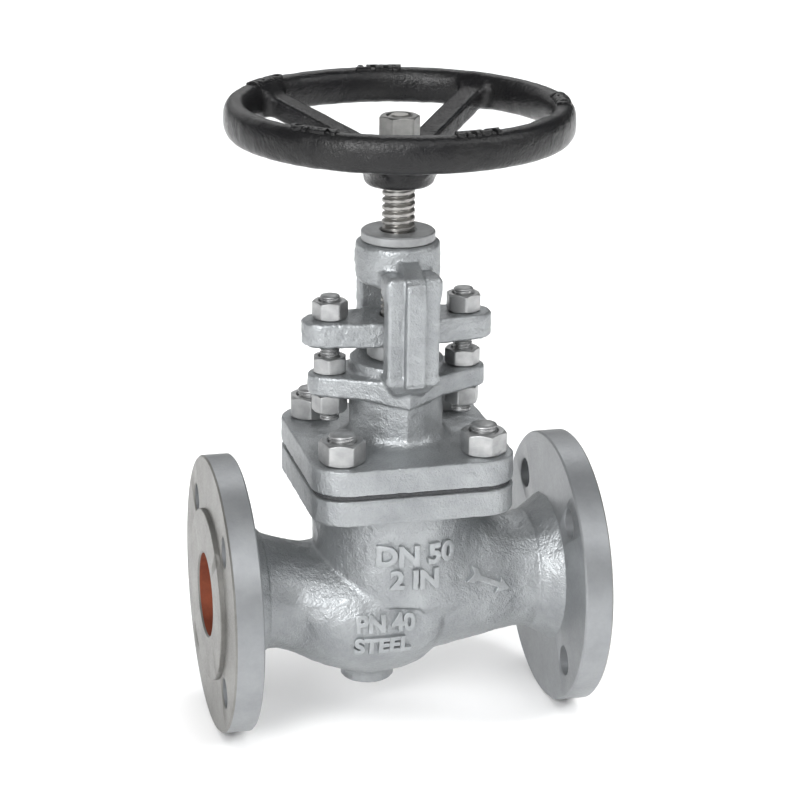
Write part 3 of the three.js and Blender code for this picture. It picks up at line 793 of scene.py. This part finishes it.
def body_field(x, y, z):
    shell = blend(bowl_and_necks(x, y, z), pipe_flange_core(x, y, z), 2)
    plan = block(x, y, PLATE_HALF, PLATE_HALF, PLATE_CORNER)
    shell = blend(shell, extrude(plan, z, BODY_TOP - PLATE_T, BODY_TOP, 1.2), 6)
    boss = extrude(np.sqrt((x - BOSS["x"]) ** 2 + y * y) - BOSS["r"], z, BOSS["bottom"], -20, 2)
    shell = blend(shell, boss, 5)
    shell = carve(shell, hollow_field(x, y, z), 1.5)
    for px, py in STUD_PLACES:
        hole = np.maximum(np.sqrt((x - px) ** 2 + (y - py) ** 2) - COVER_HOLE["r"], COVER_HOLE["bottom"] - z)
        shell = np.maximum(shell, -hole)
    return shell


def pipe_flange(end):
    """The turned flange at one end, with four bolt holes. end is -1 at the inlet and 1 at the outlet."""
    rim = FACE_X - FLANGE["face_t"]
    back = rim - FLANGE["t"]
    face_r = FLANGE["face_r"]
    rings = [
        (BORE_R, back + 1), (NECK_SOCKET_R, back + 1), (NECK_SOCKET_R, back), (FLANGE_R - 1, back),
        (FLANGE_R, back + 1), (FLANGE_R, rim - 1), (FLANGE_R - 1, rim), (face_r, rim),
        (face_r, FACE_X - 0.5), (face_r - 0.5, FACE_X), (BORE_R + 1, FACE_X), (BORE_R, FACE_X - 1),
    ]
    points, faces = ring_mesh(rings, 128)
    lying = points[:, [2, 1, 0]] * [1, 1, -1] if end > 0 else points[:, [2, 1, 0]] * [-1, 1, 1]
    obj = new_object("flange", lying, faces, [TURNED_PAINT])
    for i in range(FLANGE["bolts"]):
        angle = math.pi / 4 + i * math.pi / 2
        y = FLANGE["bolt_circle"] * math.cos(angle)
        z = FLANGE["bolt_circle"] * math.sin(angle)
        drill(obj, (end * back, y, z), (end * rim, y, z), FLANGE["bolt_r"])
    return obj


def body_marks(casting):
    """The size, rating and metal, and an arrow for the flow, raised on the front of the body."""
    surface = BVHTree.FromObject(casting, bpy.context.evaluated_depsgraph_get())

    def onto_body(place_x, place_z):
        def bend(u, v, w):
            placed = []
            for x, z, out in zip(u + place_x, v + place_z, w):
                hit, normal, _, _ = surface.ray_cast(Vector((x, -90, z)) * MM, Vector((0, 1, 0)))
                placed.append(hit / MM + normal * out)
            return np.array(placed)
        return bend

    # The marks use the lighter paint, a painted highlight on the raised letters and arrow.
    words = [
        raised_word(word, tall, onto_body(x, z), RAISED_PAINT_PAINTED_HIGHLIGHT, BODY_MARK_RISE)
        for word, tall, x, z in BODY_MARKS
    ]
    return words + [flow_arrow(onto_body(ARROW["x"], ARROW["z"]))]


def flow_arrow(bend):
    """An arrow with a swallow's tail, which points to the outlet."""
    upper = [(14.5, 0), (7, 4), (7.6, 1.3), (-7, 1.3), (-10, 4.2), (-14.5, 4.6), (-11.5, 1.4)]
    lower = [(-12.2, 0), (-14.5, -3.4), (-10, -3.2), (-7, -1.3), (7.6, -1.3), (7, -4)]
    slant = math.radians(ARROW["slant"])
    c, s = math.cos(slant), math.sin(slant)
    corners = [(u * c - v * s, u * s + v * c) for u, v in upper + lower]
    return raised_shape(corners, bend, RAISED_PAINT_PAINTED_HIGHLIGHT, ARROW["rise"])


def is_inside(x, y, z):
    """Whether a place on the body's surface is in the way through it, and not outside or on a face."""
    hollow = hollow_field(x, y, z)
    shell = blend(bowl_and_necks(x, y, z), pipe_flange_core(x, y, z), 2)
    on_the_way = (hollow < 1.2) & (shell < -np.abs(hollow) - 0.8)
    return on_the_way & (np.abs(x) < FACE_X - 0.6) & (z < BODY_TOP - 2)


def body_casting():
    low = (-108, -PLATE_HALF - 1, BOSS["bottom"] - 1)
    high = (108, PLATE_HALF + 1, BODY_TOP + 1)
    shape = cast_mesh(body_field, low, high, CELL, lumps=0.2, lump_size=9, seed=3)
    obj = new_object("valve_body", *shape, BODY_LOOKS)
    marks = body_marks(obj)
    join(obj, [pipe_flange(-1), pipe_flange(1), *marks])
    face_back = FACE_X - FLANGE["face_t"] - 0.6
    paint_faces(obj, BODY_LOOKS.index(FACING), lambda x, y, z: np.abs(x) > face_back)
    paint_faces(obj, BODY_LOOKS.index(PRIMER), is_inside)
    return settled(obj, "root", "body")


# ---- Bonnet -------------------------------------------------------------------------------------


def arm_field(x, y, z):
    """Both sides of the yoke: a bar with a rib down its outside, on a root that spreads from the neck."""
    side = np.abs(y)
    middle = (ARM["inner"] + ARM["outer"]) / 2
    half = (ARM["outer"] - ARM["inner"]) / 2
    bar = extrude(block(x, side - middle, ARM["half"], half, 2), z, ARM["bottom"], ARM["top"], 3)
    spread = np.clip(9 + (z - 126) * 0.6, 7, ARM["half"])
    root = extrude(outline(side, z, ARM_ROOT), x, -spread, spread, 2)
    head = extrude(block(x, side - 25, ARM["half"], 15, 3), z, 187, ARM["top"], 3)
    rib = extrude(outline(side, z, ARM_RIB), x, -ARM["rib_half"], ARM["rib_half"], 1.4)
    return blend(blend(blend(bar, root, 2.5), head, 6), rib, 1)


def bonnet_field(x, y, z):
    across = np.sqrt(x * x + y * y)
    plate_top = BONNET_BASE + PLATE_T
    plan = block(x, y, PLATE_HALF, PLATE_HALF, PLATE_CORNER)
    plate = extrude(plan, z, BONNET_BASE, plate_top, 1.2)
    neck = extrude(lozenge(y, x, KEEL), z, 82, LUG["bottom"] + 5, 1)
    neck = np.minimum(neck, extrude(across - NECK_R, z, 100, BOX["top"], 1))
    shell = blend(plate, neck, 8)
    shell = np.minimum(shell, extrude(across - SPIGOT["r"], z, SPIGOT["bottom"], SPIGOT["top"], 1))
    past_start = np.clip(np.abs(y) - LUG_BELLY["starts_y"], 0, LUG_BELLY["ends"])
    lug_bottom = LUG["bottom"] - LUG_BELLY["slope"] * past_start
    lug = extrude(lozenge(x, y, LUG, pointed=True), z, lug_bottom, LUG["top"], 1.8)
    shell = blend(shell, lug, 2.5)
    shell = blend(shell, arm_field(x, y, z), 2.5)
    hub = extrude(across - HUB["r"], z, HUB["bottom"], HUB["top"], 3)
    shell = blend(shell, hub, 3)
    for hole in bonnet_holes(x, y, z, across):
        shell = np.maximum(shell, -hole)
    return shell


def bonnet_holes(x, y, z, across):
    """The spigot's hollow, the stem's hole, the stuffing box, the bush's seat and the fasteners' holes."""
    yield np.maximum(across - SPIGOT["hollow_r"], z - SPIGOT["hollow_top"])
    yield across - BONNET_BORE_R
    yield np.maximum(across - BOX["r"], np.abs(z - BOX["middle"]) - BOX["half"])
    yield np.maximum(across - BUSH["r"] - 0.3, HUB["bottom"] - 8 - z)
    yield np.maximum(np.sqrt(y * y + (z - SET_SCREW["z"]) ** 2) - SET_SCREW["r"], SET_SCREW["inner"] - x)
    for px, py in STUD_PLACES:
        from_stud = np.sqrt((x - px) ** 2 + (y - py) ** 2)
        yield np.maximum(from_stud - COVER_HOLE["clear_r"], z - COVER_HOLE["clear_top"])
    from_stud = np.sqrt((np.abs(x) - GLAND_STUD_X) ** 2 + y * y)
    yield np.maximum(from_stud - LUG_HOLE["r"], np.abs(z - LUG_HOLE["middle"]) - LUG_HOLE["half"])


def bonnet_casting():
    low = (-PLATE_HALF - 1, -PLATE_HALF - 1, 65)
    high = (PLATE_HALF + 1, PLATE_HALF + 1, HUB["top"] + 1)
    shape = cast_mesh(bonnet_field, low, high, CELL * 0.9, lumps=0.16, lump_size=7, seed=11)
    return settled(new_object("bonnet_and_yoke", *shape, [PAINT]), "root", "bonnet")


# ---- Gland --------------------------------------------------------------------------------------


def gland_field(x, y, z):
    across = np.sqrt(x * x + y * y)
    bar = extrude(lozenge(x, y, GLAND), z, GLAND["bottom"], GLAND["top"], 2.2)
    studs = np.sqrt((np.abs(x) - GLAND_STUD_X) ** 2 + y * y) - GLAND_HOLE["stud_r"]
    socket = np.maximum(across - GLAND_HOLE["socket_r"], z - GLAND_HOLE["socket_top"])
    return np.maximum(bar, -np.minimum(np.minimum(studs, across - GLAND_HOLE["stem_r"]), socket))


def gland_casting():
    reach = GLAND["end_x"] + GLAND["end_r"] + 1
    low = (-reach, -GLAND["centre_r"] - 1, GLAND["bottom"] - 1)
    high = (reach, GLAND["centre_r"] + 1, GLAND["top"] + 1)
    shape = cast_mesh(gland_field, low, high, CELL * 0.75, lumps=0.22, lump_size=5, seed=21)
    obj = new_object("gland_flange_casting", *shape, [PAINT])
    return settled(obj, "root", "gland_flange")


def gland_follower():
    hole, skirt, flange_r = FOLLOWER["hole"], FOLLOWER["skirt"], FOLLOWER["flange"]
    bottom, box_top, top = FOLLOWER["bottom"], BOX["top"], FOLLOWER["top"]
    rings = [
        (hole, bottom), (skirt, bottom), (skirt, box_top + 1.3), (flange_r - 0.5, box_top + 1.3),
        (flange_r, box_top + 1.8), (flange_r, FOLLOWER["shoulder"]), (flange_r - 1.5, top), (hole, top),
    ]
    shape = ring_mesh(rings, 96)
    add_piece("gland_follower_turned", shape, DUSTED_STEEL, "root", "gland_follower")


# ---- Yoke bush, stem and fasteners --------------------------------------------------------------


def yoke_bush():
    seat = HUB["top"] + 0.3
    r, flange_r, top, hole = BUSH["r"], BUSH["flange_r"], BUSH["top"], BUSH["hole"]
    rings = [
        (hole, BUSH["bottom"]), (r - 1, BUSH["bottom"]), (r, BUSH["bottom"] + 1), (r, seat),
        (flange_r - 0.5, seat), (flange_r, seat + 0.5), (flange_r, top - 0.8), (flange_r - 0.8, top),
        (hole + 1.2, top), (hole, top - 1.2),
    ]
    shape = ring_mesh(rings, 96)
    add_piece("yoke_bush_turned", shape, DUSTED_STEEL, "root", "yoke_bush")


def stem():
    """The stem from the head in the disc to the threaded tip over the wheel."""
    around = 64
    shank, thread, hub, tip, head = (STEM[part] for part in ("shank", "thread", "hub", "tip", "head"))
    z = STEM_Z
    rings = [
        (0, z["head"]), (head - 0.5, z["head"]), (head, z["head"] + 0.5), (head, z["neck"]),
        (shank, z["neck"]), (shank, z["cone"]), (STEM_COLLAR_R, z["collar"]),
        (STEM_COLLAR_R, z["shoulder"] - 3), (shank, z["shoulder"]), (shank, z["thread"]),
    ]
    rings += screw_rings(z["thread"] + 0.2, z["hub"] - 1, thread, STEM["root"], STEM_PITCH, 0.42, around)
    rings += [(thread - 1, z["hub"]), (hub, z["hub"]), (hub, z["tip"]), (tip - 0.6, z["tip"])]
    rings += screw_rings(z["tip"] + 0.5, z["top"] - 1.6, tip, tip - 1.1, TIP_PITCH, 0.2, around)
    rings += [(tip - 0.6, z["top"] - 1.4), (tip - 1.8, z["top"] - 0.3), (0, z["top"])]
    add_piece("stem_turned", ring_mesh(rings, around), STAINLESS, "operator", "stem")


def middle_of(node):
    low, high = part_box(node)
    return ((low + high) / 2) / MM


def add_nut(node, across, hole, turn, body="root", material=ZINC):
    """A hexagon nut where the CAD's nut is, as tall as that nut."""
    low, high = low_mm(node), high_mm(node)
    middle = middle_of(node)
    points, faces = nut_mesh(across, high[2] - low[2], hole)
    points = moved(points, middle.x, middle.y, low[2], turn)
    add_piece(node + "_chamfered", (points, faces), material, body, node, 25)


def add_stud(node, outer, root, pitch):
    low, high = low_mm(node), high_mm(node)
    middle = middle_of(node)
    points, faces = threaded_rod(low[2], high[2], outer, root, pitch)
    points = moved(points, middle.x, middle.y)
    add_piece(node + "_threaded", (points, faces), ZINC, "root", node, 60)


def fasteners():
    for number, turn in enumerate(COVER_NUT["turns"], 1):
        add_nut(f"bonnet_nut_{number}", COVER_NUT["across"], COVER_NUT["hole"], turn)
        add_stud(f"bonnet_stud_{number}", 7.7, 6.5, 2)
    for place, turn in GLAND_NUT_TURNS.items():
        add_nut(f"gland_nut_{place}", GLAND_NUT["across"], GLAND_NUT["hole"], turn)
    for side in ("left", "right"):
        add_stud(f"gland_stud_{side}", 5.7, 4.7, 1.75)
    nut = WHEEL_NUT
    add_nut("handwheel_nut", nut["across"], nut["hole"], nut["turn"], "operator", DULL_STEEL)


def wheel_washer():
    bottom, top = low_mm("handwheel_washer")[2], high_mm("handwheel_washer")[2]
    hole, r, edge = WASHER["hole"], WASHER["r"], WASHER["edge"]
    rings = [
        (hole, bottom), (r - 0.4, bottom), (r, bottom + edge), (r, top - edge), (r - 0.4, top), (hole, top),
    ]
    shape = ring_mesh(rings, 64)
    add_piece("handwheel_washer_turned", shape, ZINC, "operator", "handwheel_washer")


# ---- Handwheel ----------------------------------------------------------------------------------


def spokes_field(x, y, z):
    """Four spokes on the diagonals, rising from the hub to the rim."""
    u, v = np.abs(x + y) / math.sqrt(2), np.abs(y - x) / math.sqrt(2)
    along, beside = np.maximum(u, v), np.minimum(u, v)
    slope = (SPOKE["rim_z"] - SPOKE["hub_z"]) / (WHEEL["r"] - WHEEL["rim_w"] - WHEEL["hub_r"])
    below_top = (SPOKE["hub_z"] + slope * (along - WHEEL["hub_r"]) - z) / math.sqrt(1 + slope * slope)
    half_t = SPOKE["depth"] / 2
    section = block(beside, below_top - half_t, SPOKE["width"] / 2, half_t, 2.5)
    return extrude(section, along, 6, 90, 1)


def wheel_field(x, y, z):
    across = np.sqrt(x * x + y * y)
    half_w, half_h, power = WHEEL["rim_w"] / 2, WHEEL["rim_h"] / 2, WHEEL["roundness"]
    out = np.abs(across - WHEEL["r"] + half_w) / half_w
    up = np.abs(z - WHEEL["rim_z"]) / half_h
    rim = ((out**power + up**power) ** (1 / power) - 1) * half_w
    hub = extrude(across - WHEEL["hub_r"], z, WHEEL["hub_bottom"], WHEEL["hub_top"], 3)
    spokes = spokes_field(x, y, z)
    metal = blend(blend(hub, spokes, 9), rim, 7)
    return np.maximum(metal, -np.maximum(across - STEM["hub"] - 0.3, np.abs(z - 257) - 14))


def rim_mark(word, angle):
    """A raised word on top of the rim, read from outside the wheel. angle is in degrees round from +X."""
    half_w, half_h, power = WHEEL["rim_w"] / 2, WHEEL["rim_h"] / 2, WHEEL["roundness"]
    middle = WHEEL["r"] - half_w

    def onto_rim(u, v, w):
        turn = math.radians(angle) + u / middle
        top = WHEEL["rim_z"] + half_h * (1 - (np.abs(v) / half_w) ** power) ** (1 / power)
        r = middle - v
        return np.stack([r * np.cos(turn), r * np.sin(turn), top + w], 1)

    return raised_word(word, RIM_MARK["tall"], onto_rim, ENAMEL, RIM_MARK["rise"])


def handwheel_casting():
    reach = WHEEL["r"] + 1
    high_z = WHEEL["rim_z"] + WHEEL["rim_h"] / 2 + 1
    low, high = (-reach, -reach, WHEEL["hub_bottom"] - 1), (reach, reach, high_z)
    shape = cast_mesh(wheel_field, low, high, CELL, lumps=0.12, lump_size=9, seed=31)
    obj = new_object("handwheel_casting", *shape, [ENAMEL])
    join(obj, [rim_mark(word, angle) for word, angle in RIM_MARKS])
    return settled(obj, "operator", "handwheel")


# ---- CAD pieces that stay -----------------------------------------------------------------------


def dress_cad_pieces():
    """Better materials for the pieces whose CAD shape is right."""
    looks = {"graphite": GRAPHITE, "stainless": STAINLESS, "machined_steel": ZINC}
    kept = {
        "graphite": ["bonnet_gasket"] + [f"packing_ring_{i + 1}" for i in range(5)],
        "stainless": ["seat_ring", "disc", "disc_nut", "backseat_bush", "packing_washer"],
        "machined_steel": ["yoke_bush_set_screw"],
    }
    for slot, names in kept.items():
        for name in names:
            for material_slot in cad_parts[name].material_slots:
                material_slot.material = looks[slot]


# ---- Camera, light and floor --------------------------------------------------------------------


def camera():
    """The photographer's place: a little above the cover, to the left of the valve's front."""
    azimuth, elevation, roll = (math.radians(CAMERA[part]) for part in ("azimuth", "elevation", "roll"))
    right = Vector((math.cos(azimuth), math.sin(azimuth), 0))
    forward = Vector((
        -math.sin(azimuth) * math.cos(elevation),
        math.cos(azimuth) * math.cos(elevation),
        -math.sin(elevation),
    ))
    up = right.cross(forward)
    across = right * math.cos(roll) + up * math.sin(roll)
    upright = up * math.cos(roll) - right * math.sin(roll)
    data = bpy.data.cameras.new("camera")
    data.lens = LENS["focal"]
    data.sensor_width = LENS["film"]
    obj = bpy.data.objects.new("camera", data)
    turn = Matrix((across, upright, -forward)).transposed().to_4x4()
    obj.matrix_world = Matrix.Translation(Vector(CAMERA["place"]) * MM) @ turn
    bpy.context.scene.collection.objects.link(obj)
    bpy.context.scene.camera = obj


def soft_light(name, place, aim, size, power, only=None):
    """A soft box. Where only is given, it lights that object and no other."""
    data = bpy.data.lights.new(name, "AREA")
    data.shape = "RECTANGLE"
    data.size, data.size_y = size
    data.energy = power
    obj = bpy.data.objects.new(name, data)
    obj.location = place
    obj.rotation_euler = (Vector(aim) - Vector(place)).to_track_quat("-Z", "Y").to_euler()
    bpy.context.scene.collection.objects.link(obj)
    if only:
        lit = bpy.data.collections.new(name + "_lights")
        lit.objects.link(only)
        obj.light_linking.receiver_collection = lit


def studio():
    floor_z = float(cad_box[0][2])
    corners = np.array([(-1, -1, 0), (1, -1, 0), (1, 1, 0), (-1, 1, 0)], float) * FLOOR_HALF / MM
    floor = new_object("floor", corners + [0, 0, floor_z / MM], [(0, 1, 2, 3)], [floor_material()])
    world = bpy.data.worlds.new("studio")
    bpy.context.scene.world = world
    world.use_nodes = True
    background = world.node_tree.nodes["Background"]
    background.inputs["Color"].default_value = (0.96, 0.98, 1, 1)
    background.inputs["Strength"].default_value = 0.11
    for name, place, size, power in SOFT_BOXES:
        soft_light(name, place, AIM, size, power)
    soft_light("floor_wash", (0, 0.8, 5), (0, 0.8, 0), (14, 14), 560, floor)
    bpy.context.scene.view_settings.view_transform = "Standard"


camera()
studio()
body_casting()
bonnet_casting()
gland_casting()
gland_follower()
yoke_bush()
stem()
fasteners()
wheel_washer()
handwheel_casting()
dress_cad_pieces()
